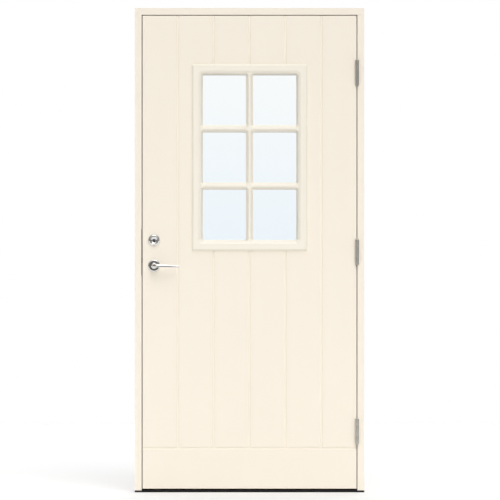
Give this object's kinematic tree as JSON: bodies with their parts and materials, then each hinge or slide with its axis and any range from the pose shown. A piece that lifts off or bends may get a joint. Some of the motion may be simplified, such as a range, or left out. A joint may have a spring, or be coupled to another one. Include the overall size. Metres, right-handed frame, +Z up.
{
  "type": "panelled front door with frame",
  "caption": "Outward-opening grooved front door leaf with a six-light glazed panel, lever handle, dead bolt and hinges, hung in its rebated frame on a black threshold.",
  "frame": {"origin": "centre of the threshold's underside", "axes": "+Z up, +Y from outdoors to indoors, +X from the lock side to the hinge side as seen from outdoors"},
  "size_m": [0.99, 0.1696, 2.09],
  "materials": {
    "painted_wood": "satin cream paint on wood",
    "painted_moulding": "satin cream paint on moulded plastic",
    "pine": "planed laminated pine",
    "foam": "rigid insulation foam",
    "aluminium": "mill finish sheet",
    "glass": "clear float glass",
    "spacer": "dark warm-edge spacer",
    "block": "hard plastic setting block",
    "rubber": "matt sealing rubber",
    "sill": "black fibre reinforced sill",
    "satin_steel": "satin zinc plated steel",
    "steel": "zinc plated steel",
    "chrome": "polished chrome",
    "brass": "nickel brass",
    "spring_steel": "spring steel"
  },
  "bodies": {
    "frame": {"threshold": "sill", "jamb_hinge_side": "painted_wood", "jamb_lock_side": "painted_wood", "frame_head": "painted_wood", "frame_seal": "rubber", "threshold_seal": "rubber", "frame_corner_screws": "steel", "fixing_sleeves": "steel", "strike_plate": "satin_steel", "strike_screws": "steel", "hinge_pins": "satin_steel", "hinge_washers": "brass", "hinge_frame_screws": "steel", "hinge_top_frame_half": "satin_steel", "hinge_middle_frame_half": "satin_steel", "hinge_bottom_frame_half": "satin_steel"},
    "leaf": {"outer_skin": "painted_wood", "inner_skin": "painted_wood", "outer_stabiliser": "aluminium", "inner_stabiliser": "aluminium", "hinge_stile": "pine", "lock_stile": "pine", "top_rail": "pine", "bottom_rail": "pine", "window_trimmers": "pine", "insulation_core": "foam", "glass_outer": "glass", "glass_middle": "glass", "glass_inner": "glass", "glass_spacers": "spacer", "glazing_blocks": "block", "glazing_gaskets": "rubber", "glazing_frame_outer": "painted_moulding", "glazing_frame_inner": "painted_moulding", "glazing_screws": "steel", "hinge_leaf_screws": "steel", "hinge_top_leaf_half": "satin_steel", "hinge_middle_leaf_half": "satin_steel", "hinge_bottom_leaf_half": "satin_steel", "lock_case": "steel", "lock_case_cover": "steel", "lock_forend": "satin_steel", "latch_spring": "spring_steel", "handle_spring": "spring_steel", "lock_screws": "steel", "outside_rosette": "chrome", "inside_rosette": "chrome", "cylinder_ring": "chrome", "cylinder_housing": "chrome", "thumb_turn_rose": "chrome"},
    "handle": {"outside_lever": "chrome", "inside_lever": "chrome", "spindle": "steel", "follower": "steel"},
    "latch": {"latch_bolt": "steel"},
    "bolt": {"dead_bolt": "steel"},
    "turn": {"thumb_turn": "chrome", "bolt_cam": "steel"},
    "plug": {"cylinder_plug": "brass"}
  },
  "joints": [
    {"name": "door_swing", "type": "hinge", "parent": "frame", "child": "leaf", "pos_m": [0.46375, -0.0615, 1.036], "axis": [0, 0, 1], "range_deg": [0, 170]},
    {"name": "handle_turn", "type": "hinge", "parent": "leaf", "child": "handle", "pos_m": [-0.412, -0.0215, 0.9775], "axis": [0, 1, 0], "range_deg": [0, 45], "stiffness_Nm_per_rad": 1.6, "springref_deg": -20.05, "deforming": ["handle_spring"]},
    {"name": "latch_slide", "type": "slide", "parent": "leaf", "child": "latch", "axis": [1, 0, 0], "range_m": [0, 0.012], "deforming": ["latch_spring"]},
    {"name": "thumb_turn_rotation", "type": "hinge", "parent": "leaf", "child": "turn", "pos_m": [-0.412, -0.0215, 1.0825], "axis": [0, 1, 0], "range_deg": [0, 90]},
    {"name": "dead_bolt_slide", "type": "slide", "parent": "leaf", "child": "bolt", "axis": [-1, 0, 0], "range_m": [0, 0.02]},
    {"name": "cylinder_plug_turn", "type": "hinge", "parent": "leaf", "child": "plug", "pos_m": [-0.412, -0.0215, 1.0825], "axis": [0, 1, 0], "range_deg": [0, 90]}
  ],
  "couplings": [
    {"joint": "latch_slide", "follows": "handle_turn", "m_per_rad": 0.015275},
    {"joint": "dead_bolt_slide", "follows": "thumb_turn_rotation", "m_per_rad": 0.01273},
    {"joint": "cylinder_plug_turn", "follows": "thumb_turn_rotation", "ratio": 1}
  ]
}
